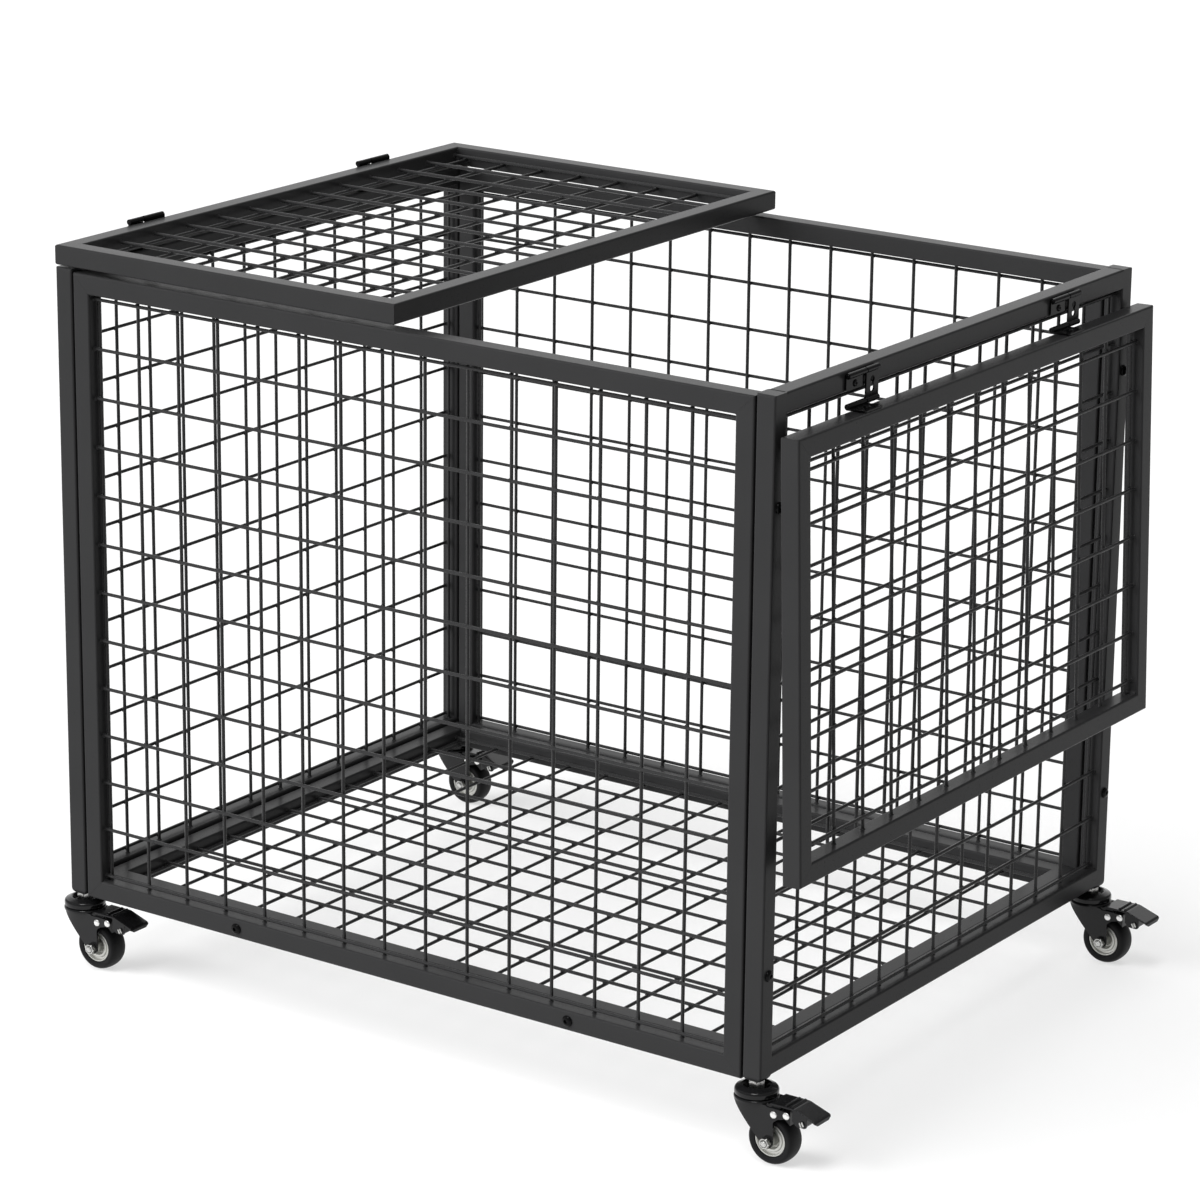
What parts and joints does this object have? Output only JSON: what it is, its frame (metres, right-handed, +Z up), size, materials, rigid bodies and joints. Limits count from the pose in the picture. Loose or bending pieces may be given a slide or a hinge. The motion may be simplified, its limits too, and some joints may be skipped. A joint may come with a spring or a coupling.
{
  "type": "ball cart",
  "caption": "Rolling ball cage of black wire-mesh panels on braked swivel casters, its top closed by two lids on double-pin hinges that fold down outside the end rails.",
  "frame": {"origin": "on the floor, at the middle of the whole cart's footprint with the left lid closed and the right lid hanging", "axes": "+X along the cart towards the end whose lid hangs down, +Y across it to the back, +Z up"},
  "size_m": [0.915, 0.673, 0.7574],
  "materials": {
    "black_powder_coat": "satin black powder coat",
    "black_hinge": "black coated steel",
    "black_bolt": "black oxide steel",
    "black_steel": "gloss black coated pressed steel",
    "zinc_steel": "bright zinc plate",
    "silver_rim": "satin silver",
    "black_tyre": "smooth black rubber"
  },
  "bodies": {
    "cage": {"front_panel": "black_powder_coat", "right_end_panel": "black_powder_coat", "back_panel": "black_powder_coat", "left_end_panel": "black_powder_coat", "floor_panel": "black_powder_coat", "front_left_floor_bolt": "black_bolt", "front_right_floor_bolt": "black_bolt", "back_left_floor_bolt": "black_bolt", "back_right_floor_bolt": "black_bolt", "left_front_lower_bolt": "black_bolt", "left_front_upper_bolt": "black_bolt", "left_back_lower_bolt": "black_bolt", "left_back_upper_bolt": "black_bolt", "right_front_lower_bolt": "black_bolt", "right_front_upper_bolt": "black_bolt", "right_back_lower_bolt": "black_bolt", "right_back_upper_bolt": "black_bolt", "left_front_hinge_rail_leaf": "black_hinge", "left_back_hinge_rail_leaf": "black_hinge", "right_front_hinge_rail_leaf": "black_hinge", "right_back_hinge_rail_leaf": "black_hinge", "left_front_caster_stem": "zinc_steel", "left_front_caster_cup": "black_steel", "left_back_caster_stem": "zinc_steel", "left_back_caster_cup": "black_steel", "right_front_caster_stem": "zinc_steel", "right_front_caster_cup": "black_steel", "right_back_caster_stem": "zinc_steel", "right_back_caster_cup": "black_steel"},
    "left_hinge_links": {"left_front_hinge_link": "black_hinge", "left_back_hinge_link": "black_hinge"},
    "left_lid_with_leaves": {"left_lid": "black_powder_coat", "left_front_hinge_lid_leaf": "black_hinge", "left_back_hinge_lid_leaf": "black_hinge"},
    "right_hinge_links": {"right_front_hinge_link": "black_hinge", "right_back_hinge_link": "black_hinge"},
    "right_lid_with_leaves": {"right_lid": "black_powder_coat", "right_front_hinge_lid_leaf": "black_hinge", "right_back_hinge_lid_leaf": "black_hinge"},
    "left_front_swivel": {"left_front_caster_fork": "black_steel", "left_front_caster_axle": "zinc_steel"},
    "left_front_wheel": {"left_front_caster_tyre": "black_tyre", "left_front_caster_rim": "silver_rim"},
    "left_front_brake": {"left_front_caster_pedal": "black_steel"},
    "left_back_swivel": {"left_back_caster_fork": "black_steel", "left_back_caster_axle": "zinc_steel"},
    "left_back_wheel": {"left_back_caster_tyre": "black_tyre", "left_back_caster_rim": "silver_rim"},
    "left_back_brake": {"left_back_caster_pedal": "black_steel"},
    "right_front_swivel": {"right_front_caster_fork": "black_steel", "right_front_caster_axle": "zinc_steel"},
    "right_front_wheel": {"right_front_caster_tyre": "black_tyre", "right_front_caster_rim": "silver_rim"},
    "right_front_brake": {"right_front_caster_pedal": "black_steel"},
    "right_back_swivel": {"right_back_caster_fork": "black_steel", "right_back_caster_axle": "zinc_steel"},
    "right_back_wheel": {"right_back_caster_tyre": "black_tyre", "right_back_caster_rim": "silver_rim"},
    "right_back_brake": {"right_back_caster_pedal": "black_steel"}
  },
  "joints": [
    {"name": "left_link_swing", "type": "hinge", "parent": "cage", "child": "left_hinge_links", "pos_m": [-0.4493, 0, 0.726], "axis": [0, -1, 0], "range_deg": [0, 180]},
    {"name": "left_lid_turn", "type": "hinge", "parent": "left_hinge_links", "child": "left_lid_with_leaves", "pos_m": [-0.4493, 0, 0.7545], "axis": [0, -1, 0], "range_deg": [0, 88.2]},
    {"name": "right_link_swing", "type": "hinge", "parent": "cage", "child": "right_hinge_links", "pos_m": [0.3973, 0, 0.726], "axis": [0, -1, 0], "range_deg": [0, 180]},
    {"name": "right_lid_turn", "type": "hinge", "parent": "right_hinge_links", "child": "right_lid_with_leaves", "pos_m": [0.3973, 0, 0.6975], "axis": [0, -1, 0], "range_deg": [0, 88.2]},
    {"name": "left_front_swivel_turn", "type": "hinge", "parent": "cage", "child": "left_front_swivel", "pos_m": [-0.436, -0.315, 0.06], "axis": [0, 0, 1], "continuous": true},
    {"name": "left_front_wheel_spin", "type": "hinge", "parent": "left_front_swivel", "child": "left_front_wheel", "pos_m": [-0.4145, -0.315, 0.025], "axis": [0, 1, 0], "continuous": true},
    {"name": "left_front_brake_press", "type": "hinge", "parent": "left_front_swivel", "child": "left_front_brake", "pos_m": [-0.4075, -0.315, 0.054], "axis": [0, 1, 0], "range_deg": [0, 6]},
    {"name": "left_back_swivel_turn", "type": "hinge", "parent": "cage", "child": "left_back_swivel", "pos_m": [-0.436, 0.315, 0.06], "axis": [0, 0, 1], "continuous": true},
    {"name": "left_back_wheel_spin", "type": "hinge", "parent": "left_back_swivel", "child": "left_back_wheel", "pos_m": [-0.4145, 0.315, 0.025], "axis": [0, 1, 0], "continuous": true},
    {"name": "left_back_brake_press", "type": "hinge", "parent": "left_back_swivel", "child": "left_back_brake", "pos_m": [-0.4075, 0.315, 0.054], "axis": [0, 1, 0], "range_deg": [0, 6]},
    {"name": "right_front_swivel_turn", "type": "hinge", "parent": "cage", "child": "right_front_swivel", "pos_m": [0.384, -0.315, 0.06], "axis": [0, 0, 1], "continuous": true},
    {"name": "right_front_wheel_spin", "type": "hinge", "parent": "right_front_swivel", "child": "right_front_wheel", "pos_m": [0.4055, -0.315, 0.025], "axis": [0, 1, 0], "continuous": true},
    {"name": "right_front_brake_press", "type": "hinge", "parent": "right_front_swivel", "child": "right_front_brake", "pos_m": [0.4125, -0.315, 0.054], "axis": [0, 1, 0], "range_deg": [0, 6]},
    {"name": "right_back_swivel_turn", "type": "hinge", "parent": "cage", "child": "right_back_swivel", "pos_m": [0.384, 0.315, 0.06], "axis": [0, 0, 1], "continuous": true},
    {"name": "right_back_wheel_spin", "type": "hinge", "parent": "right_back_swivel", "child": "right_back_wheel", "pos_m": [0.4055, 0.315, 0.025], "axis": [0, 1, 0], "continuous": true},
    {"name": "right_back_brake_press", "type": "hinge", "parent": "right_back_swivel", "child": "right_back_brake", "pos_m": [0.4125, 0.315, 0.054], "axis": [0, 1, 0], "range_deg": [0, 6]}
  ]
}
